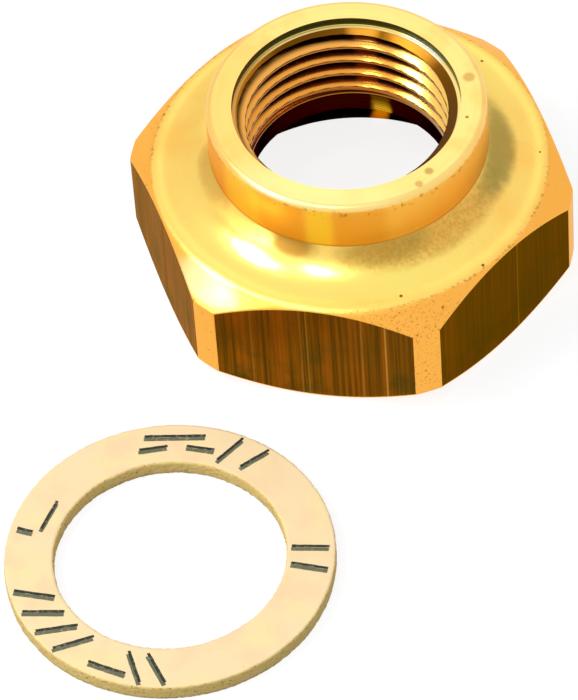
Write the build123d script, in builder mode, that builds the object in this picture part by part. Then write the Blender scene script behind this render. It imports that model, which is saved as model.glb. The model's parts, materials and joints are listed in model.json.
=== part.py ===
# Reducing socket in forged and turned brass, with its flat seal lying beside it.
# Millimetres. The Z axis is the pipe axis, with +Z towards the small end, and the
# flat seat for the seal, at the bottom of the large bore, lies at z = 0. The socket
# stands on its large end's face. One pair of the hexagon's flats faces -Y and +Y.

import os
from math import isclose

from build123d import *

# Driving dimensions

# Small end: a G 1/2 inside thread, bored to its minor diameter
small_bore_diameter = 18.631
small_mouth_chamfer = 1.2
collar_wall = 3.58
collar_height = 5.15
collar_edge_round = 0.6

# Large end: a G 1 inside thread, bored to its minor diameter, with a run-out
# groove and a flat seat for the seal at its bottom
large_bore_diameter = 30.291
large_mouth_chamfer = 1.0
large_bore_depth = 8.8
groove_depth = 1.6
groove_width = 2.1

# Hexagon for the spanner, cut from a round forging
flat_wall = 1.755
corner_rise = 2.2
corner_strip_height = 8.2
base_set_in = 0.25
base_chamfer_height = 1.9

# Shoulder between the hexagon and the collar: a cone, a soft rim and a hollow cove
rim_set_in = 0.25
rim_round = 1.5
cone_height = 2.25
cove_height = 2.5

# Flat seal, taken out and lying beside the socket
seal_side_clearance = 0.145
seal_hole_diameter = 21.0
seal_thickness = 1.6
seal_gap_to_socket = 5.13
seal_bearing = -103.4

# Sizes that follow from them

groove_diameter = large_bore_diameter + 2 * groove_depth
across_flats = groove_diameter + 2 * flat_wall
corner_diameter = across_flats + 2 * corner_rise
base_diameter = across_flats - 2 * base_set_in
rim_diameter = across_flats - 2 * rim_set_in
collar_diameter = small_bore_diameter + 2 * collar_wall

base_level = -large_bore_depth
strip_foot_level = base_level + base_chamfer_height
strip_head_level = strip_foot_level + corner_strip_height
rim_level = strip_head_level + cone_height
collar_foot_level = rim_level + cove_height
top_level = collar_foot_level + collar_height
total_height = top_level - base_level

seal_outer_diameter = large_bore_diameter - 2 * seal_side_clearance
seal_distance = corner_diameter / 2 + seal_gap_to_socket + seal_outer_diameter / 2
seal_place = Vector(seal_distance, 0, base_level).rotate(Axis.Z, seal_bearing)

# Socket body: half of the outer section, turned about Z

with BuildPart() as socket_body:
    with BuildSketch(Plane.XZ):
        with BuildLine():
            axis_foot = (0, base_level)
            base_edge = (base_diameter / 2, base_level)
            strip_foot = (corner_diameter / 2, strip_foot_level)
            strip_head = (corner_diameter / 2, strip_head_level)
            rim = (rim_diameter / 2, rim_level)
            collar_foot = (collar_diameter / 2, collar_foot_level)
            collar_head = (collar_diameter / 2, top_level)
            axis_head = (0, top_level)
            Polyline(axis_foot, base_edge, strip_foot, strip_head, rim)
            # the cove leaves the rim level and climbs to the collar
            TangentArc(rim, collar_foot, tangent=(-1, 0))
            Polyline(collar_foot, collar_head, axis_head, axis_foot)
        outline = make_face()
        fillet(outline.vertices().sort_by_distance(rim)[0], radius=rim_round)
        fillet(outline.vertices().sort_by_distance(collar_head)[0], radius=collar_edge_round)
    revolve(axis=Axis.Z)

    # six flats milled down the round forging leave narrow round strips at its corners
    with BuildSketch(Plane.XY.offset(base_level)):
        RegularPolygon(radius=across_flats / 2, side_count=6, major_radius=False)
    extrude(amount=total_height, mode=Mode.INTERSECT)

    # small bore, from the seat up through the collar
    with BuildSketch(Plane.XY):
        Circle(small_bore_diameter / 2)
    extrude(amount=top_level, mode=Mode.SUBTRACT)

    # large bore, from its mouth up to the seat, with the run-out groove beside the seat
    with BuildSketch(Plane.XY):
        Circle(large_bore_diameter / 2)
    extrude(amount=base_level, mode=Mode.SUBTRACT)
    with BuildSketch(Plane.XY):
        Circle(groove_diameter / 2)
    extrude(amount=-groove_width, mode=Mode.SUBTRACT)

    # chamfers at both mouths
    circles = socket_body.edges().filter_by(GeomType.CIRCLE)
    small_edges = circles.filter_by(lambda edge: isclose(edge.radius, small_bore_diameter / 2))
    large_edges = circles.filter_by(lambda edge: isclose(edge.radius, large_bore_diameter / 2))
    chamfer(small_edges.sort_by(Axis.Z)[-1], length=small_mouth_chamfer)
    chamfer(large_edges.sort_by(Axis.Z)[0], length=large_mouth_chamfer)

socket_body.part.label = "socket_body"

# Flat seal: a ring punched from fibre sheet, lying on the same surface

with BuildPart() as flat_seal:
    with BuildSketch(Plane(origin=seal_place)):
        Circle(seal_outer_diameter / 2)
        Circle(seal_hole_diameter / 2, mode=Mode.SUBTRACT)
    extrude(amount=seal_thickness)

flat_seal.part.label = "flat_seal"

os.makedirs("parts", exist_ok=True)
export_step(socket_body.part, "parts/socket_body.step")
export_step(flat_seal.part, "parts/flat_seal.step")

print("height", round(total_height, 2), "across flats", round(across_flats, 2))
print("corner strips on a diameter of", round(corner_diameter, 2))
print("seal", round(seal_outer_diameter, 2), "x", seal_hole_diameter, "x", seal_thickness)
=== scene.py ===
# %% [markdown]
# # Reducing socket in forged brass, with its flat seal
#
# A plumber screws this socket between a wide pipe and a narrow one. It starts as a round
# forging. The collar, the bores and the threads are turned, and six flats for the spanner
# are milled down its side. The flat seal lies beside it, taken out of the wide end.
#
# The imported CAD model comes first, because it says where everything is. Nothing is fitted
# by eye afterwards: each piece below takes its sizes from it.

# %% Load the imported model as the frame
import json
from math import acos, atan2, cos, degrees, hypot, pi, radians, sin, sqrt

import bmesh
import bpy
from mathutils import Matrix, Vector, noise

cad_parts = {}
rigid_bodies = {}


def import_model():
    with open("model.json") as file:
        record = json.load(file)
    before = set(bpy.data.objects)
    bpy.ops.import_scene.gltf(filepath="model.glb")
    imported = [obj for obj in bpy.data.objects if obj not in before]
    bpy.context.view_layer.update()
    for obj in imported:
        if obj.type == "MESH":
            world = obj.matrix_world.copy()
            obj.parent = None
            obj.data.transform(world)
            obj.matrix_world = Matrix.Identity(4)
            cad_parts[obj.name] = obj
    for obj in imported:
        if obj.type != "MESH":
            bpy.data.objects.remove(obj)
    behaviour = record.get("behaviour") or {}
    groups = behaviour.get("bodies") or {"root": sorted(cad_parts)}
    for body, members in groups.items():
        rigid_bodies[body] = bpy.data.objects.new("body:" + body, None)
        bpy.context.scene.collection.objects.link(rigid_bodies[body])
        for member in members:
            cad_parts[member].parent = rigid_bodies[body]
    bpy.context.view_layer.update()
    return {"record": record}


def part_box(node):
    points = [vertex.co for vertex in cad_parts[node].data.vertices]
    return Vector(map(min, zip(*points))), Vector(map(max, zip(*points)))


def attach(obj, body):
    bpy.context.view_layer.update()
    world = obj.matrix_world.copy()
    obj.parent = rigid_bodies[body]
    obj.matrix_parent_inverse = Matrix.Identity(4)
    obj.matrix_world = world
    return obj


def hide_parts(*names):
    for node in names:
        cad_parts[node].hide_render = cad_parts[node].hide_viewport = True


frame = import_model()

MM = 0.001

# %% [markdown]
# ## Sizes
#
# All shapes are worked out in millimetres, as on a workshop drawing, and become metres only
# when a mesh is made. The overall sizes come from the CAD nodes' boxes and the bores from
# the mounts in the record, so the picture can't drift away from the CAD.

# %% Read the main sizes from the frame
body_low, body_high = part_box("socket_body")
seal_low, seal_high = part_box("flat_seal")
mounts = {mount["name"]: mount for mount in frame["record"]["mounts"]}

base_level = body_low.z / MM
top_level = body_high.z / MM
corner_radius = body_high.x / MM
flat_distance = body_high.y / MM
small_crest_radius = mounts["small_thread"]["dims"]["r_mm"]
large_crest_radius = mounts["large_thread"]["dims"]["r_mm"]
print("height", round(top_level - base_level, 2), "across flats", round(2 * flat_distance, 2))

# %% Repeat the turned section's own sizes
base_radius = flat_distance - 0.25
rim_radius = flat_distance - 0.25
strip_foot_level = base_level + 1.9
strip_head_level = strip_foot_level + 8.2
rim_level = strip_head_level + 2.25
collar_foot_level = rim_level + 2.5
collar_radius = small_crest_radius + 3.58
collar_edge_round = 0.6
rim_round = 1.5
small_mouth_radius = small_crest_radius + 1.2
large_mouth_radius = large_crest_radius + 1.0
groove_radius = large_crest_radius + 1.6
groove_level = -2.1
print("collar", round(2 * collar_radius, 2), "mm wide, its foot", round(collar_foot_level, 2))

# %% [markdown]
# ## Camera
#
# The photograph is a close view from a long way off, so its perspective is weak. A long
# lens far away gives the same picture. The camera is placed by its target, its distance
# and three angles, which are easy to read and to change.

# %% Place the camera
def add_object(name, data):
    """A new object in the scene, at the origin."""
    item = bpy.data.objects.new(name, data)
    bpy.context.scene.collection.objects.link(item)
    return item


def direction(bearing, height_angle):
    """The way to look for a bearing and an angle above the level, both in radians."""
    level_part = cos(height_angle)
    return Vector((cos(bearing) * level_part, sin(bearing) * level_part, sin(height_angle)))


camera_target = Vector((-3.7009, -13.4725, -8.8)) * MM
camera_distance = 543.1 * MM
camera_bearing = radians(14.258)
camera_height_angle = radians(50.271)
camera_roll = radians(-4.335)

camera_data = bpy.data.cameras.new("camera")
camera_data.sensor_fit = "VERTICAL"
camera_data.sensor_height = 36.0
camera_data.lens = 301.63
camera_data.clip_start = 0.01
camera_data.clip_end = 20.0
camera = add_object("camera", camera_data)
bpy.context.scene.camera = camera

towards_camera = direction(camera_bearing - pi / 2, camera_height_angle)
turn = Matrix.Rotation(camera_bearing, 4, "Z")
tilt = Matrix.Rotation(pi / 2 - camera_height_angle, 4, "X")
roll = Matrix.Rotation(camera_roll, 4, "Z")
place = Matrix.Translation(camera_target + towards_camera * camera_distance)
camera.matrix_world = place @ turn @ tilt @ roll
print("camera at", tuple(round(value, 4) for value in camera.matrix_world.translation))

# %% [markdown]
# ## Helpers for nodes
#
# Shader nodes and geometry nodes are made and linked in the same way, so a few short
# helpers serve both. An output knows which tree it belongs to. The helpers therefore ask
# only for outputs and plain values, and a formula stays readable:
# `calculate("ADD", radius, 0.5)`. Colours are written as red, green and blue.

# %% Helpers that add a node and return its output
def feed(socket, source):
    """Link an output to a socket, or write a plain value on it."""
    if isinstance(source, bpy.types.NodeSocket):
        source.id_data.links.new(source, socket)
    elif socket.type == "RGBA":
        socket.default_value = (*source, 1.0)
    else:
        socket.default_value = source


def add_node(kind, sources=(), output=0, tree=None, **settings):
    """One node. Sources is a list, or names the sockets. A tree is given if none is linked."""
    if not isinstance(sources, dict):
        sources = dict(enumerate(sources))
    for source in sources.values():
        if isinstance(source, bpy.types.NodeSocket):
            tree = source.id_data
    node = tree.nodes.new(kind)
    for name, value in settings.items():
        setattr(node, name, value)
    for name, source in sources.items():
        feed(node.inputs[name], source)
    return node.outputs[output] if node.outputs else None


def calculate(operation, *sources):
    """One Math node."""
    return add_node("ShaderNodeMath", sources, operation=operation)


def times(*factors):
    """The product of outputs and numbers."""
    product = factors[0]
    for factor in factors[1:]:
        product = calculate("MULTIPLY", product, factor)
    return product


def ease(value, start, end, first=0.0, last=1.0, kind="SMOOTHSTEP"):
    """Ease from first to last while value goes from start to end."""
    return add_node("ShaderNodeMapRange", (value, start, end, first, last), interpolation_type=kind)


def length_of(vector):
    """The length of a vector."""
    return add_node("ShaderNodeVectorMath", [vector], "Value", operation="LENGTH")


def split(vector):
    """The x, y and z of a vector."""
    return tuple(add_node("ShaderNodeSeparateXYZ", [vector]).node.outputs)


def gather(x, y, z):
    """A vector from x, y and z."""
    return add_node("ShaderNodeCombineXYZ", (x, y, z))


def clouds(vector, scale, detail=2.0, sharpness=0.5, output=0):
    """Smooth procedural noise between 0 and 1."""
    sources = {"Vector": vector, "Scale": scale, "Detail": detail, "Roughness": sharpness}
    return add_node("ShaderNodeTexNoise", sources, output)


def tint(amount, under, over):
    """Lay one colour over another."""
    return add_node("ShaderNodeMix", {0: amount, 6: under, 7: over}, 2, data_type="RGBA")


def lay_over(under, over, *strengths):
    """The same, as strong as all the strengths multiplied."""
    return tint(times(*strengths), under, over)


print("node helpers are ready")

# %% [markdown]
# ## Light
#
# The highlights on the brass tell where the lamps stood: two on the left, one high and one
# low, a small one high up in front and a large weak one behind, which only the level top
# face mirrors. Metal also shows its surroundings, so a white sky matters as much as the
# lamps do.
#
# The sky is white for what the camera and the metal see, and little more than half as
# bright for the light it gives, so that paper-white things don't burn out.

# %% The sky
white = (1.0, 1.0, 1.0)
sky_light = (0.56, 0.56, 0.56)

world = bpy.data.worlds.new("studio")
bpy.context.scene.world = world
world.use_nodes = True
sky_tree = world.node_tree
sky_tree.nodes.clear()
light_path = sky_tree.nodes.new("ShaderNodeLightPath")
sky_coordinates = sky_tree.nodes.new("ShaderNodeTexCoord")
sky_height = split(sky_coordinates.outputs["Generated"])[2]

seen_directly = light_path.outputs["Is Camera Ray"]
seen_in_metal = light_path.outputs["Is Glossy Ray"]
seen_through = light_path.outputs["Is Transmission Ray"]
mirrored_sky = ease(sky_height, 0.0, 0.7, 0.95, 1.0)
sky_strength = tint(seen_in_metal, sky_light, mirrored_sky)
shown = calculate("MAXIMUM", seen_directly, seen_through)
sky_strength = tint(shown, sky_strength, white)
background = add_node("ShaderNodeBackground", {"Color": sky_strength})
add_node("ShaderNodeOutputWorld", {"Surface": background})
print("sky made")

# %% The lamps
def softbox(name, bearing, height_angle, distance, width, height, brightness):
    """An area lamp that faces the socket. Brightness 1 looks as bright as white paper."""
    lamp = bpy.data.lights.new(name, "AREA")
    lamp.shape = "RECTANGLE"
    lamp.size = width
    lamp.size_y = height
    lamp.energy = brightness * pi * width * height
    holder = add_object(name, lamp)
    towards_lamp = direction(radians(bearing), radians(height_angle))
    holder.location = towards_lamp * distance
    holder.rotation_euler = towards_lamp.to_track_quat("Z", "Y").to_euler()


softbox("left_lamp", -162.5, 55.5, 0.5, 0.11, 0.15, 14.0)
softbox("low_left_lamp", -140.0, 33.0, 0.5, 0.12, 0.12, 9.0)
softbox("front_lamp", -112.0, 65.5, 0.5, 0.06, 0.10, 16.0)
softbox("back_lamp", 102.0, 50.0, 0.8, 0.4, 0.4, 0.38)
bpy.context.scene.view_settings.view_transform = "Standard"

# %% [markdown]
# ## Floor
#
# A plain pale floor carries both pieces. A plain diffuse floor would render grey at this
# light level. More light would burn out the socket, so the floor glows a little instead,
# and only for the camera and for reflections. The shadow stays, because the diffuse part
# still takes its light from the lamps.

# %% The floor
reach = 3.0
floor_glow = 0.86
floor_grey = (0.19, 0.19, 0.19)

floor_mesh = bpy.data.meshes.new("floor")
floor_height = (base_level - 0.02) * MM
floor_corners = [(-reach, -reach), (reach, -reach), (reach, reach), (-reach, reach)]
floor_mesh.from_pydata([(x, y, floor_height) for x, y in floor_corners], [], [(0, 1, 2, 3)])
floor = add_object("floor", floor_mesh)

floor_paint = bpy.data.materials.new("floor_white")
floor_paint.use_nodes = True
tree = floor_paint.node_tree
tree.nodes.clear()
path = tree.nodes.new("ShaderNodeLightPath")
seen = calculate("MAXIMUM", path.outputs["Is Camera Ray"], path.outputs["Is Glossy Ray"])
seen = calculate("MAXIMUM", seen, path.outputs["Is Transmission Ray"])
glow = add_node("ShaderNodeEmission", {"Color": white, "Strength": times(seen, floor_glow)})
matt = add_node("ShaderNodeBsdfDiffuse", {"Color": floor_grey}, tree=tree)
add_node("ShaderNodeOutputMaterial", {"Surface": add_node("ShaderNodeAddShader", (glow, matt))})
floor_mesh.materials.append(floor_paint)
print("floor at", round(floor_height / MM, 2), "mm")

# %% [markdown]
# ## Brass finishes
#
# One alloy, five finishes. The forging's skin is pale and a little mottled, the turned
# faces carry fine rings from the lathe tool, the milled flats are painted dark brown as a
# painted reflection of dark surroundings, with upright cutter lines, the thread is bright on
# its crests and painted dark in its roots as painted shade, and the short plain bore below
# it is painted nearly black as a painted reflection of dark surroundings.
#
# Photographs could be wrapped round the part, but they bring seams and their own light.
# Procedural nodes read the place on the object instead, so the marks stay put from every
# side. All of them start from the same metal shader.

# %% A metal to start from
def start_finish(name, roughness, metallic=1.0):
    """A new material: its tree, its shader and the place on the object in millimetres."""
    material = bpy.data.materials.new(name)
    material.use_nodes = True
    tree = material.node_tree
    shader = tree.nodes["Principled BSDF"]
    shader.inputs["Metallic"].default_value = metallic
    shader.inputs["Roughness"].default_value = roughness
    place = add_node("ShaderNodeTexCoord", output="Object", tree=tree)
    spot = add_node("ShaderNodeVectorMath", {0: place, "Scale": 1 / MM}, operation="SCALE")
    return material, tree, shader, spot


def complete(shader, colour, roughness=None, height=None, depth=0.0):
    """Feed the shader. Depth is that of the small unevenness, in millimetres."""
    feed(shader.inputs["Base Color"], colour)
    if roughness is not None:
        feed(shader.inputs["Roughness"], roughness)
    if height is not None:
        relief = {"Height": height, "Strength": 1.0, "Distance": depth * MM}
        feed(shader.inputs["Normal"], add_node("ShaderNodeBump", relief))


def axis_distance(spot):
    """How far a place is from the pipe axis."""
    x, y = split(spot)[:2]
    return length_of(gather(x, y, 0.0))


print("finish helpers are ready")

# %% [markdown]
# Stains sit at known places, and so do painted highlights and painted shade: a band round
# part of the collar's foot is given by its bearing, its spread, its distance from the axis
# and its width. A little noise frays its edge. Single dots are tiny balls round a point.

# %% Ring patches and dots
def ring_patch(spot, bearing, spread, radius, width, ragged=0.6):
    """Strength of a patch along part of a ring, for a stain or for painted light and shade."""
    turned = {"Vector": spot, "Angle": radians(-bearing)}
    x, y = split(add_node("ShaderNodeVectorRotate", turned, rotation_type="Z_AXIS"))[:2]
    along = times(calculate("ARCTAN2", y, x), 1 / radians(spread))
    across = calculate("SUBTRACT", axis_distance(spot), radius)
    across = times(across, 1 / width)
    size = calculate("ADD", times(along, along), times(across, across))
    fray = calculate("MULTIPLY_ADD", clouds(spot, 0.9, 4.0), ragged * 2, -ragged)
    return ease(calculate("ADD", size, fray), 1.2, 0.15)


def dot(spot, centre, size):
    """Strength of one small round mark."""
    ball = {"Vector": spot, "Location": centre, "Scale": (size, size, size)}
    ball = add_node("ShaderNodeMapping", ball, vector_type="TEXTURE")
    return ease(length_of(ball), 1.0, 0.5)


print("stain helpers are ready")

# %% [markdown]
# ### Forged skin
#
# The cove is smooth and pale gold up to the rim. Outside the rim, the cone and the corner
# strips keep the skin of the forging, which is a warmer orange and dotted with tiny dark
# specks, most of all on the cone in front. Round the collar's foot lies a greenish brown
# oxide, as stains.
#
# The oxide is also rougher than clean metal. That matters here: a smooth foot would mirror
# the collar's wall, and in it the lamps, as a second row of bright streaks.

# %% Forged skin: cove, cone and specks
pale_gold = (0.98, 0.66, 0.155)
warm_gold = (0.98, 0.46, 0.075)
cove_sheen_yellow = (0.98, 0.80, 0.19)
corner_sheen_pale = (0.99, 0.86, 0.45)
speck_brown = (0.22, 0.10, 0.02)
skin_change = 18.35

forged_skin, tree, shader, spot = start_finish("forged_skin", 0.2)
feed(shader.inputs["Specular Tint"], (1.0, 0.90, 0.62))
radius = axis_distance(spot)
mottle = clouds(spot, 0.16, 3.0)
boundary = calculate("MULTIPLY_ADD", clouds(spot, 1.2, 2.0), 0.3, radius)
on_skin = ease(boundary, skin_change, skin_change + 0.25)
colour = tint(on_skin, pale_gold, warm_gold)
colour = tint(ease(mottle, 0.45, 0.75, 0.0, 0.4), colour, warm_gold)

grain = clouds(spot, 2.6, 3.0, 0.6)
specks = ease(grain, 0.61, 0.71, 0.0, 0.9)
crowded = ease(clouds(spot, 0.22, 2.0), 0.42, 0.56)
outer = ease(radius, 17.6, 19.6, 0.15, 1.0)
colour = lay_over(colour, speck_brown, specks, crowded, outer)
fine_specks = ease(clouds(spot, 4.5, 3.0, 0.6), 0.54, 0.66, 0.0, 0.5)
front_cone = ring_patch(spot, -68.0, 20.0, 19.6, 1.7, 0.4)
colour = lay_over(colour, speck_brown, fine_specks, front_cone)

rim_inside = ease(radius, skin_change - 0.25, skin_change - 0.05)
rim_outside = ease(radius, skin_change + 0.2, skin_change + 0.05)
rim_dirt = ease(grain, 0.5, 0.64, 0.0, 0.5)
rim_gaps = ease(mottle, 0.4, 0.55, 0.25, 1.0)
colour = lay_over(colour, speck_brown, rim_inside, rim_outside, rim_dirt, rim_gaps)
print("forged skin so far:", len(tree.nodes), "nodes")

# %% Forged skin: painted sheen, oxide and dots
oxide_green = (0.24, 0.205, 0.05)
oxide_brown = (0.32, 0.15, 0.018)
oxide_olive = (0.28, 0.17, 0.02)
arc_brown = (0.44, 0.165, 0.010)

# Painted sheen: the cove is painted paler yellow in front and at the back right, where the lamps' light
# spreads over it.
for bearing, spread, strength in ((-90.0, 66.0, 0.8), (60.0, 30.0, 0.5)):
    cove_sheen = ring_patch(spot, bearing, spread, 16.0, 2.8, 0.2)
    colour = lay_over(colour, cove_sheen_yellow, cove_sheen, strength)
level = split(spot)[2]
# Painted highlight: the cone is painted paler near one front corner, where the low lamp's highlight
# lies.
on_cone = ease(level, strip_head_level, strip_head_level + 0.4, 0.0, 0.6)
corner_sheen = ring_patch(spot, -123.0, 12.0, 19.2, 1.4, 0.3)
colour = lay_over(colour, corner_sheen_pale, corner_sheen, on_cone)

arc_strength = ease(clouds(spot, 2.6, 4.0, 0.7), 0.35, 0.65, 0.35, 0.6)
foot_stains = [
    (ring_patch(spot, -44.0, 50.0, 13.8, 1.6, 0.3), arc_strength, arc_brown),
    (ring_patch(spot, 8.0, 30.0, 14.0, 1.6, 0.3), 0.72, oxide_green),
    (ring_patch(spot, -153.0, 20.0, 13.1, 1.2, 0.3), 0.45, oxide_brown),
    (ring_patch(spot, -102.5, 11.5, 13.2, 1.1, 0.2), 0.9, oxide_brown),
]
matt_foot = ring_patch(spot, -132.0, 32.0, 12.8, 1.5, 0.2)
for patch, strength, shade in foot_stains:
    colour = lay_over(colour, shade, patch, strength)
    matt_foot = calculate("MAXIMUM", matt_foot, patch)
front_arc = ring_patch(spot, -65.0, 22.0, 13.4, 1.3, 0.2)
colour = lay_over(colour, oxide_olive, front_arc, 0.5)
for centre, size in (
    ((10.07, 13.64, 3.67), 0.19),
    ((17.26, 3.31, 3.58), 0.15),
    ((14.37, -10.93, 3.55), 0.2),
    ((7.67, -15.70, 3.59), 0.2),
):
    colour = tint(dot(spot, centre, size), colour, speck_brown)

clean_roughness = ease(radius, 16.6, 18.0, 0.19, 0.34)
roughness = calculate("MULTIPLY_ADD", matt_foot, 0.24, clean_roughness)
complete(shader, colour, roughness, clouds(spot, 1.0, 3.0), 0.01)
print("forged skin:", len(tree.nodes), "nodes")

# %% [markdown]
# ### Turned faces
#
# A lathe tool leaves rings round the axis. On a flat face they differ in their distance
# from the axis, and on the collar's wall in their height. Noise that reads the sum of both
# draws rings on either, without any seam. The wall is painted a warmer gold than the top
# face, a painted reflection of the gold cove below it. Along the front it has browner parts,
# yellow painted reflections of the lamps and a crumbly dark line under its round edge. The
# top face is painted paler in front, as painted sheen, and warmer on the left, as painted
# shade.

# %% Turned faces: gold, rings and the wall's patches
def lathe_rings(spot, fineness):
    """Noise that is the same all the way round the axis."""
    ring = calculate("ADD", axis_distance(spot), split(spot)[2])
    wobble = times(clouds(spot, 0.12, 1.0), 0.4)
    ring = calculate("ADD", ring, wobble)
    return clouds(gather(ring, 0.0, 0.0), fineness, 3.0)


turned_gold = (0.98, 0.71, 0.235)
face_sheen_pale = (0.99, 0.82, 0.34)
wall_mirrored_gold = (0.98, 0.55, 0.09)
wall_brown = (0.80, 0.30, 0.006)
wall_glint_yellow = (0.98, 0.66, 0.05)

turned_face, tree, shader, spot = start_finish("turned_face", 0.26)
rings = lathe_rings(spot, 3.0)
mottle = clouds(spot, 0.3, 3.0)
level = split(spot)[2]
on_wall = ease(level, top_level - 0.2, top_level - 0.7)
# Painted reflection: the wall is painted a warmer gold, for the gold cove it mirrors.
colour = tint(on_wall, turned_gold, wall_mirrored_gold)
colour = tint(ease(rings, 0.3, 0.8, 0.0, 0.2), colour, warm_gold)
colour = tint(ease(mottle, 0.5, 0.75, 0.0, 0.35), colour, warm_gold)
# Painted shade: the left side of the top face is painted warmer and darker.
dim_side_shade = ring_patch(spot, -172.0, 60.0, 11.0, 4.0)
colour = lay_over(colour, warm_gold, dim_side_shade, 0.35)
# Along the wall's front, the yellow patches are painted reflections of the lamps' highlights; the brown
# ones are browner parts.
for bearing, spread, shade, strength in (
    (-150.0, 16.0, wall_brown, 0.4),
    (-128.0, 15.0, wall_glint_yellow, 0.6),
    (-107.0, 16.0, wall_brown, 0.55),
    (-75.0, 16.0, wall_brown, 0.5),
    (-91.0, 7.5, wall_glint_yellow, 0.8),
):
    patch = ring_patch(spot, bearing, spread, collar_radius, 1.0, 0.15)
    colour = lay_over(colour, shade, patch, patch, on_wall, strength)
# Painted sheen: the top face is painted paler in front.
front_sheen = ring_patch(spot, -95.0, 42.0, 12.2, 3.0, 0.2)
on_top = ease(on_wall, 0.0, 1.0, 0.5, 0.0)
colour = lay_over(colour, face_sheen_pale, front_sheen, on_top)
print("turned faces so far:", len(tree.nodes), "nodes")

# %% Turned faces: foot line, specks, marks and gloss
# Darker along the collar's foot.
foot_line = ease(level, collar_foot_level + 0.35, collar_foot_level, 0.0, 0.55)
colour = tint(foot_line, colour, oxide_brown)
grain = clouds(spot, 1.8, 3.0, 0.6)
specks = ease(grain, 0.55, 0.65, 0.0, 0.75)
below_edge = ease(level, top_level - 1.5, top_level - 0.6)
colour = lay_over(colour, oxide_brown, specks, on_wall, below_edge)
for centre, size, strength in (
    ((10.56, 4.76, 11.2), 0.75, 0.5),
    ((8.94, -7.06, 11.2), 0.55, 0.6),
    ((8.32, -8.72, 11.2), 0.5, 0.5),
    ((11.22, -0.11, 11.2), 0.22, 0.9),
):
    colour = lay_over(colour, oxide_brown, dot(spot, centre, size), strength)
complete(shader, colour, ease(on_wall, 0.0, 0.6, 0.3, 0.4), rings, 0.005)
print("turned faces:", len(tree.nodes), "nodes")

# %% [markdown]
# ### Milled flats
#
# The cutter ran along the pipe axis and left upright lines. Stretching the noise along Z
# draws them: many fine ones, a few broad ones and here and there a bright one. The scratches
# that stand out on the front flat are listed one by one. The flats are painted brown, a
# painted reflection of dark surroundings, with a greener tone low down and painted shade
# towards one side.

# %% Milled flats
flat_brown = (0.235, 0.080, 0.007)
flat_dark = (0.105, 0.043, 0.005)
flat_green = (0.076, 0.050, 0.008)
flat_red = (0.36, 0.095, 0.008)
flat_bright = (0.60, 0.30, 0.05)


def cutter_lines(spot, stretch, *noise_settings):
    """Noise drawn out along the pipe axis. Stretch is what is left of the height."""
    x, y, level = split(spot)
    return clouds(gather(x, y, times(level, stretch)), *noise_settings)


milled_flat, tree, shader, spot = start_finish("milled_flat", 0.34)
feed(shader.inputs["Specular Tint"], (0.84, 0.54, 0.24))
x, y, level = split(spot)
fine_lines = cutter_lines(spot, 0.012, 4.5, 4.0, 0.6)
broad_lines = cutter_lines(spot, 0.015, 0.8, 3.0)
clean_lines = cutter_lines(spot, 0.004, 1.15, 1.0)
# Painted reflection: the flats are painted dark brown, for the dark surroundings they mirror.
colour = tint(ease(fine_lines, 0.32, 0.66), flat_dark, flat_brown)
colour = tint(ease(broad_lines, 0.48, 0.66, 0.0, 0.5), colour, flat_red)
low_down = ease(level, 0.0, -7.0, 0.3, 1.0)
green_clouds = ease(clouds(spot, 0.25, 3.0), 0.4, 0.65)
colour = lay_over(colour, flat_green, green_clouds, low_down)
# Painted shade: darker and greener towards +x.
colour = tint(ease(x, 4.0, 15.0, 0.0, 0.75), colour, flat_green)
colour = tint(ease(clean_lines, 0.70, 0.76, 0.0, 0.35), colour, flat_bright)
for place, strength in ((6.6, 0.6), (4.4, 0.2), (-0.7, 0.3), (-1.3, 0.2), (-5.9, 0.15)):
    off_line = calculate("ABSOLUTE", calculate("SUBTRACT", x, place))
    scratch = ease(off_line, 0.13, 0.03, 0.0, strength)
    colour = tint(scratch, colour, flat_bright)
complete(shader, colour, ease(fine_lines, 0.3, 0.7, 0.42, 0.3), fine_lines, 0.02)
print("milled flats:", len(tree.nodes), "nodes")

# %% [markdown]
# ### Cut thread
#
# A thread's crests are polished by the tap and by every pipe screwed in. Its roots are
# painted dark, a painted shade where the crests hide them from the light. How far a place
# lies from the axis tells crest from root. The same material serves both threads, so it asks
# which side of the seat the place is on. In two places the painted shade stays only in the
# very bottom of the groove, as painted light.

# %% Cut thread: crests and roots
small_root_radius = 10.4775
large_root_radius = 16.6245
thread_gold = (0.90, 0.43, 0.085)
thread_glint_pale = (0.97, 0.62, 0.15)
thread_deep_shade = (0.78, 0.29, 0.03)
root_brown = (0.045, 0.012, 0.002)
land_brown = (0.34, 0.12, 0.012)

cut_thread, tree, shader, spot = start_finish("cut_thread", 0.14)
radius = axis_distance(spot)
level = split(spot)[2]
upper = ease(level, -0.2, 0.2)
lower = calculate("SUBTRACT", 1.0, upper)
deep_start = small_crest_radius + 0.75
wide_dark = ease(radius, small_crest_radius + 0.2, deep_start)
thin_dark = ease(radius, deep_start, small_root_radius - 0.05)
# Painted light: in two places the painted root shade is kept to the very bottom of the groove.
painted_lit_streak = times(ring_patch(spot, 91.0, 7.0, small_crest_radius, 4.0, 0.1), 0.8)
painted_lit_side = times(ring_patch(spot, 38.0, 34.0, small_crest_radius, 4.0, 0.1), 0.8)
wear_and_light = calculate("MAXIMUM", painted_lit_streak, painted_lit_side)
thinner = calculate("SUBTRACT", thin_dark, wide_dark)
small_depth = calculate("MULTIPLY_ADD", thinner, wear_and_light, wide_dark)
large_depth = ease(radius, large_crest_radius + 0.3, large_root_radius - 0.1)
large_depth = times(large_depth, lower)
depth = calculate("MULTIPLY_ADD", small_depth, upper, large_depth)
# Painted shade: the roots are painted dark, broken up a little by noise, where the crests hide them
# from the light.
root_shade_noise = ease(clouds(spot, 0.5, 3.0), 0.2, 0.7, 0.85, 1.0)
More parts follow.
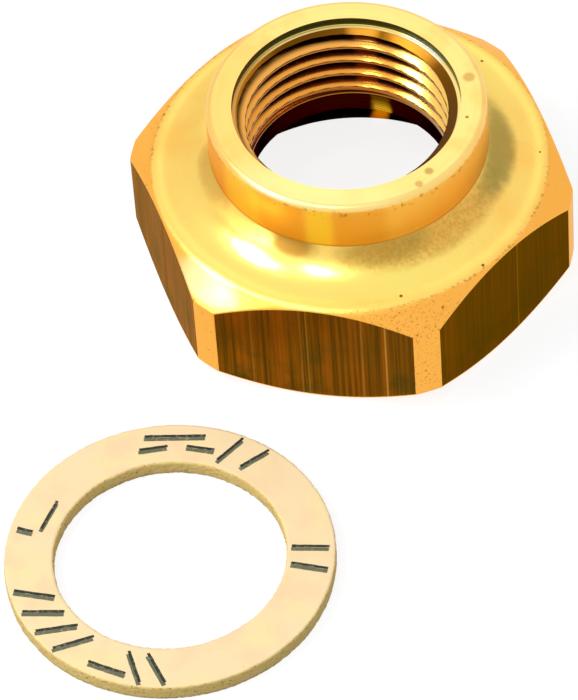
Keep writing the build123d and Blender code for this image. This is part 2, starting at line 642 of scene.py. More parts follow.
# Painted shade: the turns are painted darker and redder further down the bore.
colour = tint(ease(level, 10.5, 5.0, 0.0, 0.7), thread_gold, thread_deep_shade)
# Painted highlight: the wider lit place is also painted paler.
colour = tint(painted_lit_side, colour, thread_glint_pale)
colour = lay_over(colour, root_brown, depth, root_shade_noise)
facing = add_node("ShaderNodeNewGeometry", output="True Normal", tree=tree)
facing_up = calculate("ABSOLUTE", split(facing)[2])
colour = tint(ease(facing_up, 0.75, 0.35, 0.0, 0.85), colour, land_brown)
print("cut thread so far:", len(tree.nodes), "nodes")

# %% [markdown]
# The narrow mouth has three parts above the thread: an upright lip with green oxide, a
# narrow ledge that shines, with a painted highlight on one side, and a brown chamfer with
# painted highlights in two places.
# At the wide mouth, the wall across from the viewer lies in deep shadow in the photograph.
# The bright studio floor would light it up, so it is painted nearly black there, as painted
# shadow, with one narrow painted reflection in it.

# %% Cut thread: mouths and gloss
ledge_gold = (0.98, 0.74, 0.26)
ledge_glint_white = (1.0, 0.94, 0.72)
chamfer_brown = (0.14, 0.052, 0.003)
chamfer_gold = (0.70, 0.31, 0.03)
shade_brown = (0.52, 0.19, 0.008)
lip_green = (0.06, 0.075, 0.010)
shadow_black = (0.008, 0.001, 0.001)
shadow_gloss = (0.12, 0.03, 0.02)
glint_gold = (0.80, 0.42, 0.04)
lip_depth = 0.85
lip_step = 0.22
chamfer_end = 1.65

below_mouth = calculate("SUBTRACT", top_level, level)
in_chamfer = ease(below_mouth, chamfer_end, chamfer_end - 0.2)
past_ledge = ease(below_mouth, lip_depth + 0.05, lip_depth + 0.09)
colour = tint(in_chamfer, colour, ledge_gold)
# Painted highlight: one side of the ledge is painted nearly white.
ledge_glint = ring_patch(spot, 57.0, 16.0, small_mouth_radius, 1.5, 0.1)
colour = lay_over(colour, ledge_glint_white, in_chamfer, ledge_glint)
chamfer_colour = chamfer_brown
# Painted highlights: two places on the chamfer are painted lighter gold.
for bearing, spread, strength in ((92.0, 10.0, 0.55), (61.0, 19.0, 0.4)):
    painted_sheen = ring_patch(spot, bearing, spread, small_mouth_radius, 3.0, 0.1)
    chamfer_colour = lay_over(chamfer_colour, chamfer_gold, painted_sheen, strength)
colour = lay_over(colour, chamfer_colour, in_chamfer, past_ledge)
left_shade = ring_patch(spot, -170.0, 50.0, small_mouth_radius, 2.5, 0.1)
colour = lay_over(colour, shade_brown, in_chamfer, left_shade, 0.75)
on_lip = ease(below_mouth, lip_depth, lip_depth - 0.06)
colour = tint(on_lip, colour, lip_green)

# Painted shadow: the far wall low in the wide bore is painted nearly black, and its reflections are
# dimmed too.
far_wall = ring_patch(spot, 102.0, 135.0, large_crest_radius, 6.0, 0.05)
painted_shadow = times(ease(level, -5.5, -7.0), far_wall)
colour = tint(painted_shadow, colour, shadow_black)
# Painted reflection: a narrow bright streak inside the painted shadow.
painted_sheen = ring_patch(spot, 91.5, 3.6, large_crest_radius, 3.0, 0.7)
colour = lay_over(colour, glint_gold, painted_shadow, painted_sheen)
feed(shader.inputs["Specular Tint"], tint(painted_shadow, white, shadow_gloss))
roughness = ease(in_chamfer, 0.0, 1.0, 0.17, 0.38)
complete(shader, colour, roughness, clouds(gather(radius, level, 0.0), 5.0, 2.0), 0.006)
print("cut thread:", len(tree.nodes), "nodes")

# %% [markdown]
# ### Plain bore
#
# Below the thread the bore stays as the drill left it, with fine rings. It is painted nearly
# black with a red tinge, a painted reflection of dark surroundings, and one place is painted
# bright as a painted reflection.

# %% Plain bore
bore_dark = (0.018, 0.002, 0.001)
bore_red = (0.045, 0.005, 0.002)
bore_gold = (0.92, 0.48, 0.03)
plain_bore, tree, shader, spot = start_finish("plain_bore", 0.25)
feed(shader.inputs["Specular Tint"], (0.35, 0.10, 0.06))
rings = lathe_rings(spot, 4.0)
# Painted reflection: nearly black with a red tinge, for the dark surroundings the bore mirrors.
colour = tint(ease(rings, 0.35, 0.7), bore_dark, bore_red)
# Painted reflection: one bright place low in the bore.
low_down = ease(split(spot)[2], 1.9, 0.3, 0.35, 1.0)
painted_sheen = ring_patch(spot, 82.5, 7.0, small_crest_radius, 1.0, 0.5)
painted_sheen = times(painted_sheen, low_down, ease(rings, 0.35, 0.6, 0.7, 1.0))
colour = lay_over(colour, bore_gold, painted_sheen, painted_sheen)
complete(shader, colour, None, rings, 0.01)
print("plain bore:", len(tree.nodes), "nodes")

# %% [markdown]
# ## The outer shell
#
# The outside follows a simple rule: one turned outline, cut back by six planes. It could be
# made with a boolean, but a boolean leaves long thin triangles that shade badly. Here the
# shell is a grid instead. Each column stands at one bearing, knows how far the wall is from
# the axis there, and climbs from the base to the collar's top with the same number of
# points as its neighbours.
#
# First come the turned curve's helpers: the cone, the soft rim and the hollow cove as one
# height for each distance from the axis.

# %% The shoulder's height at any distance from the axis
cone_run = corner_radius - rim_radius
cone_rise = rim_level - strip_head_level
cove_rise = collar_foot_level - rim_level
cove_run = rim_radius - collar_radius
cove_radius = (cove_run ** 2 + cove_rise ** 2) / (2 * cove_rise)
cove_centre = Vector((rim_radius, rim_level + cove_radius))

cone_along = Vector((-cone_run, cone_rise)).normalized()
cone_out = Vector((cone_rise, cone_run)).normalized()
offset_start = Vector((corner_radius, strip_head_level)) - cone_out * rim_round
gap = offset_start - cove_centre
half_b = gap.dot(cone_along)
reach_to_centre = -half_b - sqrt(half_b ** 2 - gap.length_squared + (cove_radius + rim_round) ** 2)
rim_centre = offset_start + cone_along * reach_to_centre
rim_outer = rim_centre.x + cone_out.x * rim_round
rim_inner = rim_centre.x + (cove_centre - rim_centre).normalized().x * rim_round


def shoulder_height(radius):
    """Height of the turned shoulder: cone outside, soft rim, cove inside."""
    if radius > rim_outer:
        return strip_head_level + (corner_radius - radius) * cone_rise / cone_run
    if radius > rim_inner:
        return rim_centre.y + sqrt(rim_round ** 2 - (radius - rim_centre.x) ** 2)
    return cove_centre.y - sqrt(cove_radius ** 2 - (radius - cove_centre.x) ** 2)


print("rim between", round(rim_inner, 2), "and", round(rim_outer, 2),
      "cove radius", round(cove_radius, 2))

# %% [markdown]
# Real edges are never perfectly sharp, and a small round edge catches the light. A short
# curve in place of each corner does it. A quadratic Bezier needs only the corner itself and
# one point on each side.

# %% A small curve in place of a corner
def ease_corner(before, corner, after, size, steps):
    """Points that go round a corner. Size is where the curve starts, in millimetres."""
    first = before - corner
    last = after - corner
    start = corner + first.normalized() * min(size, 0.45 * first.length)
    end = corner + last.normalized() * min(size, 0.45 * last.length)
    points = []
    for step in range(steps + 1):
        t = step / steps
        points.append(start * (1 - t) ** 2 + corner * (2 * t * (1 - t)) + end * t ** 2)
    return points


right_angle = ease_corner(Vector((1, 0)), Vector((0, 0)), Vector((0, 1)), 0.1, 4)
print("a right angle becomes", len(right_angle), "points")

# %% [markdown]
# The columns stand close together at the edges between flat and corner strip, so that the
# edge gets its own small curve in plan, and further apart on the flats.

# %% Where the columns stand
flat_half_angle = acos(flat_distance / corner_radius)
edge_half_angle = radians(0.5)
support_angle = radians(0.45)


def from_flat(angle):
    """The angle from the middle of the nearest flat."""
    return (angle + pi / 6) % (pi / 3) - pi / 6


def wall_place(angle):
    """How far the wall is from the axis, for an angle from the middle of a flat."""
    return min(corner_radius, flat_distance / cos(from_flat(angle)))


def plan_point(angle):
    """The same place as x and y."""
    return Vector((cos(angle), sin(angle))) * wall_place(angle)


def evenly(start, end, count):
    """Values at equal steps from start to end."""
    return [start + (end - start) * i / (count - 1) for i in range(count)]


sector = []
for side in (-1, 1):
    corner_angle = side * flat_half_angle
    before = plan_point(corner_angle - edge_half_angle * 2)
    after = plan_point(corner_angle + edge_half_angle * 2)
    edge = ease_corner(before, plan_point(corner_angle), after, 0.2, 4)
    sector.append([(atan2(point.y, point.x), point.length) for point in edge])

flat_start = sector[0][-1][0] + support_angle
flat_end = sector[1][0][0] - support_angle
strip_start = sector[1][-1][0] + support_angle / 2
strip_end = sector[0][0][0] + pi / 3 - support_angle / 2
flat_columns = 25
strip_columns = 5

one_sixth = list(sector[0])
one_sixth += [(angle, wall_place(angle)) for angle in evenly(flat_start, flat_end, flat_columns)]
one_sixth += sector[1]
one_sixth += [(angle, wall_place(angle)) for angle in evenly(strip_start, strip_end, strip_columns)]
columns = []
for sixth in range(6):
    flat_bearing = -pi / 2 + sixth * pi / 3
    columns += [(flat_bearing + angle, radius) for angle, radius in one_sixth]
column_count = len(columns)
print(column_count, "columns, flats", round(degrees(2 * flat_half_angle), 1), "degrees wide")

# %% One column of the shell, from the base to the collar's top
base_slope = (strip_foot_level - base_level) / (corner_radius - base_radius)
inner_radii = evenly(rim_inner + 0.25, collar_radius + 0.15, 27)
base_edge_size = 0.12
foot_edge_size = 0.14
head_edge_size = 0.1
collar_foot_size = 0.08
support_gap = 0.15
collar_wall_top = top_level - collar_edge_round


def on_shoulder(radius):
    """The shoulder's point at this distance from the axis."""
    return Vector((radius, shoulder_height(radius)))


def column_profile(wall_radius):
    """Distance from the axis and height of each point of one column."""
    base_inside = Vector((base_radius - 1.0, base_level))
    base_edge = Vector((base_radius, base_level))
    foot = Vector((wall_radius, base_level + (wall_radius - base_radius) * base_slope))
    head = on_shoulder(wall_radius)
    points = ease_corner(base_inside, base_edge, foot, base_edge_size, 3)
    points += ease_corner(base_edge, foot, head, foot_edge_size, 4)
    low = points[-1].y
    lip = ease_corner(foot, head, on_shoulder(wall_radius - 0.3), head_edge_size, 4)
    high = lip[0].y
    wall_heights = [low + support_gap] + evenly(low, high, 9)[1:-1] + [high - support_gap]
    points += [Vector((wall_radius, height)) for height in wall_heights]
    points += lip
    outer_radii = evenly(lip[-1].x - 0.12, inner_radii[0], 11)
    points += [on_shoulder(radius) for radius in outer_radii[:-1] + inner_radii[:-1]]
    collar_foot = Vector((collar_radius, collar_foot_level))
    wall_top = Vector((collar_radius, collar_wall_top))
    near_foot = on_shoulder(collar_radius + 0.2)
    points += ease_corner(near_foot, collar_foot, wall_top, collar_foot_size, 2)
    for height in evenly(collar_foot_level, collar_wall_top, 7)[1:-1]:
        points.append(Vector((collar_radius, height)))
    for angle in evenly(0.0, pi / 2, 9):
        points.append(Vector((
            collar_radius - collar_edge_round * (1 - cos(angle)),
            top_level - collar_edge_round * (1 - sin(angle)),
        )))
    return points


row_count = len(column_profile(corner_radius))
print(row_count, "points in a column")

# %% [markdown]
# A grid of points becomes a mesh by joining each column to the next one. The same helper
# also makes the plain turned parts inside, which are the same at every bearing.

# %% Make a mesh from a closed ring of columns
def ring_mesh(name, places):
    """Places is a list of columns, each a list of points in millimetres."""
    mesh = bpy.data.meshes.new(name)
    rows = len(places[0])
    points = [Vector(point) * MM for column in places for point in column]
    faces = []
    for index in range(len(places)):
        here = index * rows
        there = ((index + 1) % len(places)) * rows
        for row in range(rows - 1):
            faces.append((here + row, there + row, there + row + 1, here + row + 1))
    mesh.from_pydata(points, [], faces)
    return mesh


def place_column(profile, bearing, centre=Vector((0.0, 0.0))):
    """Turn distances and heights into points at one bearing from the centre."""
    return [(centre.x + r * cos(bearing), centre.y + r * sin(bearing), z) for r, z in profile]


shell_places = [place_column(column_profile(wall), bearing) for bearing, wall in columns]
shell_mesh = ring_mesh("shell", shell_places)
print("shell:", len(shell_mesh.polygons), "faces")

# %% [markdown]
# ## The inside threads
#
# A pipe thread is a groove of rounded V shape, 55 degrees between its flanks, wound round
# the bore. It could be cut with a swept tool, but a swept helix meets itself in slivers.
# It follows a rule, so Geometry Nodes make it: a flat grid is wrapped into a tube, and each
# point moves out from the axis by the thread's depth at its height and bearing. The groove
# climbs one pitch for each turn, to the right. Both threads use the same tree with other
# numbers.

# %% Helpers that start and end a geometry node tree
def start_tree(name, inputs):
    """A tree with named inputs, the identifier of each and the node that gives them."""
    tree = bpy.data.node_groups.new(name, "GeometryNodeTree")
    identifiers = {}
    for kind, labels in inputs:
        for label in labels:
            socket = tree.interface.new_socket(label, in_out="INPUT", socket_type=kind)
            identifiers[label] = socket.identifier
    tree.interface.new_socket("Geometry", in_out="OUTPUT", socket_type="NodeSocketGeometry")
    return tree, identifiers, tree.nodes.new("NodeGroupInput").outputs


def end_tree(geometry, material):
    """Make the instances real, give them their material and hand the result out."""
    real = add_node("GeometryNodeRealizeInstances", [geometry])
    painted = add_node("GeometryNodeSetMaterial", {"Geometry": real, "Material": material})
    add_node("NodeGroupOutput", [painted])


print("tree helpers are ready")

# %% The thread's tree: a grid and the groove's depth
thread_tree, thread_inputs, given = start_tree("inside_thread", (
    ("NodeSocketInt", ("Columns", "Rows")),
    ("NodeSocketFloat", ("Crest Radius", "Root Radius", "Pitch")),
    ("NodeSocketFloat", ("Mouth Height", "Inner Height", "Mouth Radius")),
    ("NodeSocketFloat", ("Lip Depth", "Lip Step", "Chamfer Slope")),
    ("NodeSocketFloat", ("Start Turn", "Run-out Start", "Run-out End")),
    ("NodeSocketMaterial", ("Material",)),
))
grid = add_node("GeometryNodeMeshGrid", {
    "Size X": 1.0,
    "Size Y": 1.0,
    "Vertices X": calculate("ADD", given["Columns"], 1.0),
    "Vertices Y": given["Rows"],
})
across, along = split(add_node("GeometryNodeInputPosition", tree=thread_tree))[:2]
turns = calculate("ADD", across, 0.5)
share = calculate("ADD", along, 0.5)
length = calculate("SUBTRACT", given["Inner Height"], given["Mouth Height"])
height = calculate("MULTIPLY_ADD", length, share, given["Mouth Height"])
depth_in = calculate("ABSOLUTE", times(length, share))

phase = calculate("SUBTRACT", calculate("DIVIDE", height, given["Pitch"]), turns)
phase = calculate("FRACT", calculate("ADD", phase, given["Start Turn"]))
from_root = calculate("ABSOLUTE", calculate("MULTIPLY_ADD", phase, 2.0, -1.0))
flank = ease(from_root, 1 / 6, 5 / 6, 1.0, 0.0, "LINEAR")
rounded = ease(from_root, 0.0, 1.0, 0.2, 0.0)
cut = calculate("MULTIPLY_ADD", flank, 0.8, rounded)
run_out = ease(depth_in, given["Run-out Start"], given["Run-out End"], 1.0, 0.0)
cut = times(cut, run_out)
full_depth = calculate("SUBTRACT", given["Root Radius"], given["Crest Radius"])
thread_radius = calculate("MULTIPLY_ADD", full_depth, cut, given["Crest Radius"])
print("groove so far:", len(thread_tree.nodes), "nodes")

# %% The thread's tree: the mouth, and the grid wrapped into a tube
past_lip = calculate("SUBTRACT", depth_in, given["Lip Depth"])
step_in = ease(past_lip, 0.0, times(given["Lip Step"], 0.3))
step_in = times(step_in, given["Lip Step"])
chamfer = times(calculate("MAXIMUM", past_lip, 0.0), given["Chamfer Slope"])
mouth_radius = calculate("SUBTRACT", given["Mouth Radius"], step_in)
mouth_radius = calculate("SUBTRACT", mouth_radius, chamfer)
radius = calculate("MAXIMUM", thread_radius, mouth_radius)

angle = times(turns, 2 * pi)
tube_x = times(radius, calculate("COSINE", angle))
tube_y = times(radius, calculate("SINE", angle))
tube_place = gather(tube_x, tube_y, height)
tube = add_node("GeometryNodeSetPosition", {"Geometry": grid, "Position": tube_place})
welded = add_node("GeometryNodeMergeByDistance", {"Geometry": tube, "Distance": 0.001 * MM})
end_tree(welded, given["Material"])
print("thread tree:", len(thread_tree.nodes), "nodes")

# %% [markdown]
# A modifier shows a tree's result, but only while it stays on its object. Running the tree
# once and copying the result gives a plain mesh, which can be welded to its neighbours and
# leaves nothing to work out later.

# %% Run a node tree and keep its result as a plain mesh
def run_tree(name, node_tree, identifiers, values, start_mesh=None):
    """Set the inputs by identifier, evaluate once, and copy the mesh out."""
    carrier = add_object(name, start_mesh or bpy.data.meshes.new(name))
    modifier = carrier.modifiers.new("nodes", "NODES")
    modifier.node_group = node_tree
    for label, value in values.items():
        modifier[identifiers[label]] = value
    carrier.update_tag()
    depsgraph = bpy.context.evaluated_depsgraph_get()
    depsgraph.update()
    mesh = bpy.data.meshes.new_from_object(carrier.evaluated_get(depsgraph))
    mesh.name = name
    carrier.modifiers.clear()
    bpy.data.objects.remove(carrier)
    return mesh


print("ready to run a tree")

# %% Both threads from one table
small_thread_end = 2.2
thread_lengths = (
    ("Crest Radius", small_crest_radius, large_crest_radius),
    ("Root Radius", small_root_radius, large_root_radius),
    ("Pitch", 1.814, 2.309),
    ("Mouth Height", top_level, base_level),
    ("Inner Height", small_thread_end, groove_level),
    ("Mouth Radius", small_mouth_radius, large_mouth_radius),
    ("Lip Depth", lip_depth, 0.0),
    ("Lip Step", lip_step, 0.0),
    ("Run-out Start", 7.9, 20.0),
    ("Run-out End", 8.9, 30.0),
)
thread_meshes = []
for which, (name, rows, chamfer_slope, start_turn) in enumerate((
    ("small_thread", 210, 1.8, 0.624),
    ("large_thread", 60, 1.0, 0.0),
)):
    values = {label: both[which] * MM for label, *both in thread_lengths}
    values.update({"Columns": column_count, "Rows": rows, "Material": cut_thread})
    values.update({"Chamfer Slope": chamfer_slope, "Start Turn": start_turn})
    thread_meshes.append(run_tree(name, thread_tree, thread_inputs, values))
print("threads:", [len(mesh.polygons) for mesh in thread_meshes], "faces")

# %% [markdown]
# Between the threads lie a short plain bore, the flat seat for the seal and the groove that
# lets the tap run out. They are plain turned shapes, so one short outline goes round the
# axis.

# %% Plain bore, seat and run-out groove
inside_outline = [
    *((small_crest_radius, height) for height in (small_thread_end, 1.5, 0.8, 0.2, 0.1)),
    (small_crest_radius + 0.03, 0.03),
    (small_crest_radius + 0.1, 0.0),
    (small_crest_radius + 0.3, 0.0),
    (large_crest_radius - 1.0, 0.0),
    (groove_radius - 0.3, 0.0),
    (groove_radius - 0.15, -0.02),
    (groove_radius - 0.04, -0.06),
    (groove_radius, -0.2),
    (groove_radius, groove_level + 0.2),
    (groove_radius, groove_level),
]
inside_places = []
for index in range(column_count):
    inside_places.append(place_column(inside_outline, index / column_count * 2 * pi))
inside_mesh = ring_mesh("inside", inside_places)
print("inside:", len(inside_mesh.polygons), "faces")

# %% [markdown]
# ## One closed body
#
# The shell, the threads and the plain inside are still four open pieces. They are put in
# one mesh, their shared rings are welded, and the three gaps that are left, at the top
# face, the base face and the groove's lower side, are bridged. A closed body has no open
# edges, and the cell counts them.

# %% Join, weld and bridge
weld_distance = 0.002
level_slack = 0.005

body = bmesh.new()
for part in (shell_mesh, *thread_meshes, inside_mesh):
    body.from_mesh(part)
bmesh.ops.remove_doubles(body, verts=body.verts, dist=weld_distance * MM)


def bearing_of(vert):
    """The direction of a point, seen from the axis."""
    return atan2(vert.co.y, vert.co.x)


def join_rings(body, height, between):
    """Quads from one open ring to the other at this height, matched by bearing."""
    open_verts = {vert for edge in body.edges if edge.is_boundary for vert in edge.verts}
    ring = [vert for vert in open_verts if abs(vert.co.z / MM - height) < level_slack]
    inner = sorted((vert for vert in ring if vert.co.xy.length < between * MM), key=bearing_of)
    outer = sorted((vert for vert in ring if vert.co.xy.length > between * MM), key=bearing_of)
    for index in range(len(inner)):
        after = (index + 1) % len(inner)
        body.faces.new((inner[index], inner[after], outer[after], outer[index]))
    return len(inner), len(outer)


for place, height, inner_edge, outer_edge in (
    ("top face", top_level, small_mouth_radius, collar_radius - collar_edge_round),
    ("base face", base_level, large_mouth_radius, base_radius),
    ("groove side", groove_level, large_root_radius, groove_radius),
):
    print(place, join_rings(body, height, (inner_edge + outer_edge) / 2))
bmesh.ops.recalc_face_normals(body, faces=body.faces)
open_left = sum(not edge.is_manifold for edge in body.edges)
print("body:", len(body.faces), "faces, open edges", open_left)

# %% [markdown]
# ## Which face gets which finish
#
# Each machining step reached a known place, so a face's middle and its direction are enough
# to choose its finish. Edges where the surface turns by more than 30 degrees stay sharp in
# the shading, and all others are smooth.

# %% Give each face its finish
finishes = [forged_skin, turned_face, milled_flat, cut_thread, plain_bore]
FORGED, TURNED, MILLED, THREAD, BORE = range(5)
slack = 0.01
sharp_edge = radians(30.0)


def finish_of(face):
    """The number of the finish for one face."""
    middle = face.calc_center_median() / MM
    normal = face.normal
    radius = hypot(middle.x, middle.y)
    faces_axis = normal.x * middle.x + normal.y * middle.y < -0.05 * radius
    if middle.z > small_thread_end and (faces_axis or radius < small_mouth_radius):
        return THREAD
    if radius < small_crest_radius + 0.02 and middle.z > 0.0:
        return BORE
    if radius < groove_radius and base_level + slack < middle.z < groove_level:
        return THREAD
    if middle.z > collar_foot_level or middle.z < base_level + slack:
        return TURNED
    if radius < groove_radius + 0.05 and middle.z < small_thread_end:
        return TURNED
    angle = from_flat(atan2(middle.y, middle.x) + pi / 2)
    if abs(normal.z) < 0.05 and abs(radius * cos(angle) - flat_distance) < slack:
        return MILLED
    return FORGED


for face in body.faces:
    face.material_index = finish_of(face)
    face.smooth = True
for edge in body.edges:
    if edge.calc_face_angle(0.0) > sharp_edge:
        edge.smooth = False

socket_mesh = bpy.data.meshes.new("socket_turned")
body.to_mesh(socket_mesh)
body.free()
for material in finishes:
    socket_mesh.materials.append(material)
socket_body = add_object("socket_turned", socket_mesh)
tally = [0] * len(finishes)
for polygon in socket_mesh.polygons:
    tally[polygon.material_index] += 1
print("faces per finish:", dict(zip([material.name for material in finishes], tally)))

# %% [markdown]
# ## Seal finishes
#
# The seal is punched from sheet of pressed fibre. Its faces are smooth and cream, with pale
# yellow and pink clouds. Where the punch went through, the layers show as tan fibres that
# run round the ring.

# %% Seal face and seal edge
seal_centre = (seal_low + seal_high) / 2 / MM
seal_top = seal_high.z / MM
seal_bottom = seal_low.z / MM
seal_outer_radius = (seal_high.x - seal_low.x) / 2 / MM
seal_hole_radius = mounts["seal_hole"]["dims"]["r_mm"]

cream = (0.99, 0.76, 0.44)
cream_yellow = (0.99, 0.79, 0.40)
cream_pink = (0.99, 0.71, 0.41)
tan_light = (0.99, 0.78, 0.31)
tan_mid = (0.99, 0.68, 0.20)
tan_dark = (0.40, 0.24, 0.05)

seal_face, tree, shader, spot = start_finish("seal_face", 0.75, 0.0)
colour = tint(ease(clouds(spot, 0.22, 3.0), 0.45, 0.7), cream, cream_yellow)
shifted = add_node("ShaderNodeMapping", {"Vector": spot, "Location": (40.0, 15.0, 0.0)})
pink = clouds(shifted, 0.28, 3.0)
colour = tint(ease(pink, 0.45, 0.7), colour, cream_pink)
dots = ease(clouds(spot, 1.5, 1.0), 0.77, 0.82, 0.0, 0.7)
colour = tint(dots, colour, tan_mid)
complete(shader, colour, None, clouds(spot, 5.0, 4.0, 0.65), 0.02)

seal_edge, tree, shader, spot = start_finish("seal_edge", 0.85, 0.0)
x, y, level = split(spot)
layers = clouds(gather(x, y, times(level, 3.5)), 1.6, 4.0, 0.65)
colour = tint(ease(layers, 0.4, 0.62), tan_mid, tan_light)
pits = clouds(gather(x, y, times(level, 2.0)), 3.1, 3.0, 0.6)
colour = tint(ease(pits, 0.58, 0.68), colour, tan_dark)
complete(shader, colour, None, pits, 0.08)
print("seal:", round(2 * seal_outer_radius, 2), "x", round(2 * seal_hole_radius, 2), "mm")

# %% [markdown]
# ## The flat seal
#
# A plain ring would look like plastic. The punch tears the fibres, so both edges wander by
# a tenth of a millimetre and the sides are rough. The ring is made as columns again, and
# seeded noise moves its points. The outside only moves inwards, so the seal keeps within
# its true size.

# %% The seal's ring
def rough(bearing, row, fineness, seed):
    """Noise from -1 to 1 that closes on itself after one turn."""
    spot = Vector((cos(bearing) * fineness, sin(bearing) * fineness, row * 0.9 + seed))
    return noise.noise(spot)


seal_columns = 420
side_rows = 9
side_inset = 0.03
face_wave = 0.012
fine_weld = 0.0005
thickness = seal_top - seal_bottom
seal_places = []
for index in range(seal_columns):
    bearing = index / seal_columns * 2 * pi
    column = []
    outer_wander = 0.03 + 0.03 * rough(bearing, 0, 5.0, 3.0)
    inner_wander = 0.06 * rough(bearing, 0, 4.0, 9.0)
    for row in range(side_rows):
        share = row / (side_rows - 1)
        tear = 0.05 * rough(bearing, row, 38.0, 1.0) + 0.04 * rough(bearing, row, 90.0, 5.0)
        rounding = 0.06 * (abs(2 * share - 1) ** 6)
        radius = seal_outer_radius - side_inset - outer_wander + tear - rounding
        column.append((min(radius, seal_outer_radius), seal_bottom + thickness * share))
    for share in (0.03, 0.12, 0.35, 0.65, 0.88, 0.97):
        radius = seal_outer_radius - 0.2 + (seal_hole_radius - seal_outer_radius + 0.4) * share
        column.append((radius, seal_top - face_wave + face_wave * rough(bearing, share * 6, 3.0, 21.0)))
    for row in range(side_rows):
        share = 1 - row / (side_rows - 1)
        tear = 0.06 * rough(bearing, row, 30.0, 13.0) + 0.05 * rough(bearing, row, 70.0, 17.0)
        rounding = 0.08 * (abs(2 * share - 1) ** 6)
        radius = seal_hole_radius + inner_wander + tear + rounding
        column.append((radius, seal_bottom + thickness * share))
    for share in (0.2, 0.5, 0.8):
        radius = seal_hole_radius + (seal_outer_radius - seal_hole_radius) * share
        column.append((radius, seal_bottom))
    column.append(column[0])
    seal_places.append(place_column(column, bearing, seal_centre))
seal_mesh = ring_mesh("seal_ring", seal_places)

seal_work = bmesh.new()
seal_work.from_mesh(seal_mesh)
bmesh.ops.remove_doubles(seal_work, verts=seal_work.verts, dist=fine_weld * MM)
bmesh.ops.recalc_face_normals(seal_work, faces=seal_work.faces)
for face in seal_work.faces:
    face.smooth = True
    face.material_index = 0 if abs(face.normal.z) > 0.75 else 1
open_left = sum(not edge.is_manifold for edge in seal_work.edges)
seal_work.to_mesh(seal_mesh)
seal_work.free()
seal_mesh.materials.append(seal_face)
seal_mesh.materials.append(seal_edge)
seal = add_object("seal_ring", seal_mesh)
print("seal:", len(seal_mesh.polygons), "faces, open edges", open_left)

# %% [markdown]
# ## Printed dashes on the seal
#
# Such sheet is printed all over before the rings are punched from it. The print here is
# plain: groups of dark dashes, each with a grey-green shade below it, as from a worn
# printing plate. They repeat, so Geometry Nodes place a thin bar on each point of a small
# point list and fray the bars' outline a little.

# %% Ink materials
worn_ink = (0.42, 0.40, 0.24)


def ink(name, fresh_ink):
    """A matt printing ink with worn spots."""
    material, tree, shader, spot = start_finish(name, 0.7, 0.0)
    wear_and_light = ease(clouds(spot, 2.4, 3.0, 0.6), 0.52, 0.8, 0.0, 0.75)
    complete(shader, tint(wear_and_light, fresh_ink, worn_ink))
    return material


dark_ink = ink("dark_ink", (0.010, 0.014, 0.006))
grey_ink = ink("grey_ink", (0.125, 0.135, 0.075))
print("inks:", dark_ink.name, grey_ink.name)

# %% The dash tree: bars on points
dash_tree, dash_inputs, given = start_tree("printed_dashes", (
    ("NodeSocketGeometry", ("Geometry",)),
    ("NodeSocketFloat", ("Bar Width", "Bar Thickness", "Fray")),
    ("NodeSocketVector", ("Shift",)),
    ("NodeSocketMaterial", ("Material",)),
))
bar_counts = {"Size": (1.0, 1.0, 1.0), "Vertices X": 22, "Vertices Y": 4, "Vertices Z": 2}
bar = add_node("GeometryNodeMeshCube", bar_counts, "Mesh", dash_tree)
bar_length, bar_turn = [
    add_node("GeometryNodeInputNamedAttribute", {"Name": name}, "Attribute", dash_tree)
    for name in ("bar_length", "bar_turn")
]
bars = add_node("GeometryNodeInstanceOnPoints", {
    "Points": given["Geometry"],
    "Instance": bar,
    "Rotation": gather(0.0, 0.0, bar_turn),
    "Scale": gather(bar_length, given["Bar Width"], given["Bar Thickness"]),
})
real_bars = add_node("GeometryNodeRealizeInstances", [bars])
print("bars so far:", len(dash_tree.nodes), "nodes")

# %% The dash tree: frayed outlines and the print's shift
fray_fineness = 1900.0
where = add_node("GeometryNodeInputPosition", tree=dash_tree)
fray_x, fray_y = [
    times(calculate("SUBTRACT", part, 0.5), given["Fray"])
    for part in split(clouds(where, fray_fineness, output="Color"))[:2]
]
frayed = gather(fray_x, fray_y, 0.0)
offset = add_node("ShaderNodeVectorMath", (frayed, given["Shift"]), operation="ADD")
moved = add_node("GeometryNodeSetPosition", {"Geometry": real_bars, "Offset": offset})
end_tree(moved, given["Material"])
print("dash tree:", len(dash_tree.nodes), "nodes")

# %% [markdown]
# The list gives each dash by its bearing on the ring, its distance from the ring's centre,
# its length and how far it leans from the ring's own direction.

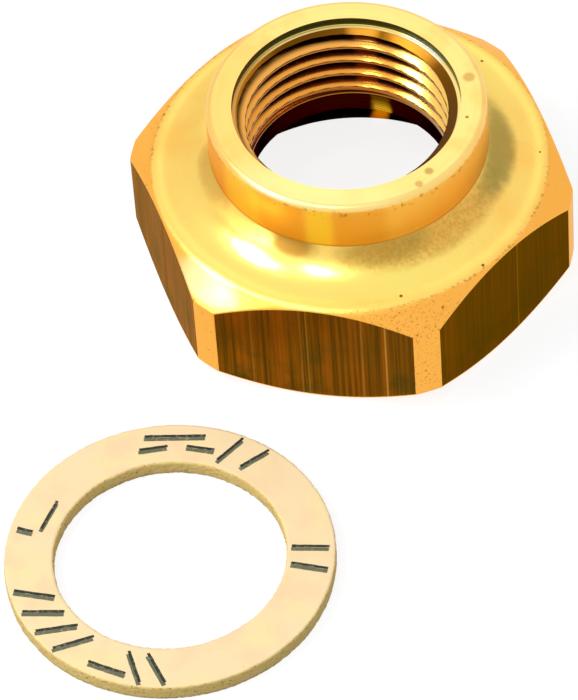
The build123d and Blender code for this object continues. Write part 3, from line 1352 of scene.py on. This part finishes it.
# %% The point list of the dashes
dashes = [
    (66.0, 13.1, 3.2, 70.0), (77.0, 13.0, 3.4, 70.0),
    (100.0, 13.6, 5.6, 0.0),
    (167.0, 12.1, 3.4, 0.0), (177.0, 13.6, 1.5, 85.0),
    (-141.0, 12.8, 3.8, 60.0), (-131.0, 12.8, 3.8, 60.0), (-121.0, 12.8, 3.8, 60.0),
    (-103.0, 13.6, 3.6, 0.0),
    (-93.0, 12.8, 3.6, -60.0), (-84.0, 12.7, 3.6, -60.0),
    (-151.0, 12.8, 3.8, 60.0),
    (89.0, 12.4, 2.6, 0.0), (109.0, 12.4, 2.6, 0.0),
    (3.0, 12.6, 3.4, 85.0), (13.0, 12.6, 3.4, 85.0),
]
dash_points = bpy.data.meshes.new("dash_points")
dash_height = seal_top - 0.004
spots = []
for bearing, distance, length, lean in dashes:
    spots += place_column([(distance, dash_height)], radians(bearing), seal_centre)
dash_points.from_pydata([Vector(spot) * MM for spot in spots], [], [])
lengths = dash_points.attributes.new("bar_length", "FLOAT", "POINT")
leans = dash_points.attributes.new("bar_turn", "FLOAT", "POINT")
for index, (bearing, distance, length, lean) in enumerate(dashes):
    lengths.data[index].value = length * MM
    leans.data[index].value = radians(bearing + 90.0 + lean)

print_work = bmesh.new()
for shade, width, shift_y, bar_thickness in (
    (grey_ink, 0.40, -0.36, 0.010),
    (dark_ink, 0.28, 0.0, 0.016),
):
    printed = run_tree("printed", dash_tree, dash_inputs, {
        "Bar Width": width * MM,
        "Bar Thickness": bar_thickness * MM,
        "Fray": 0.10 * MM,
        "Shift": (0.08 * MM, shift_y * MM, 0.0),
        "Material": shade,
    }, dash_points.copy())
    first_new = len(print_work.faces)
    print_work.from_mesh(printed)
    print_work.faces.ensure_lookup_table()
    for face in print_work.faces[first_new:]:
        face.material_index = 0 if shade is dark_ink else 1
print_mesh = bpy.data.meshes.new("seal_print")
print_work.to_mesh(print_mesh)
print_work.free()
print_mesh.materials.append(dark_ink)
print_mesh.materials.append(grey_ink)
seal_print = add_object("seal_print", print_mesh)
print("print:", len(dashes), "dashes,", len(print_mesh.polygons), "faces")

# %% [markdown]
# ## Attach the pieces
#
# Each row gives a piece, the CAD node it stands for and the record's material slot that
# its finish belongs to. Each piece is attached to the body it moves with, and the CAD node
# it stands for is hidden.

# %% Attach each piece and hide its CAD node
for piece, node, slot_name in (
    (socket_body, "socket_body", "forged_brass"),
    (seal, "flat_seal", "seal_fibre"),
):
    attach(piece, "root")
    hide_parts(node)
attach(seal_print, "root")
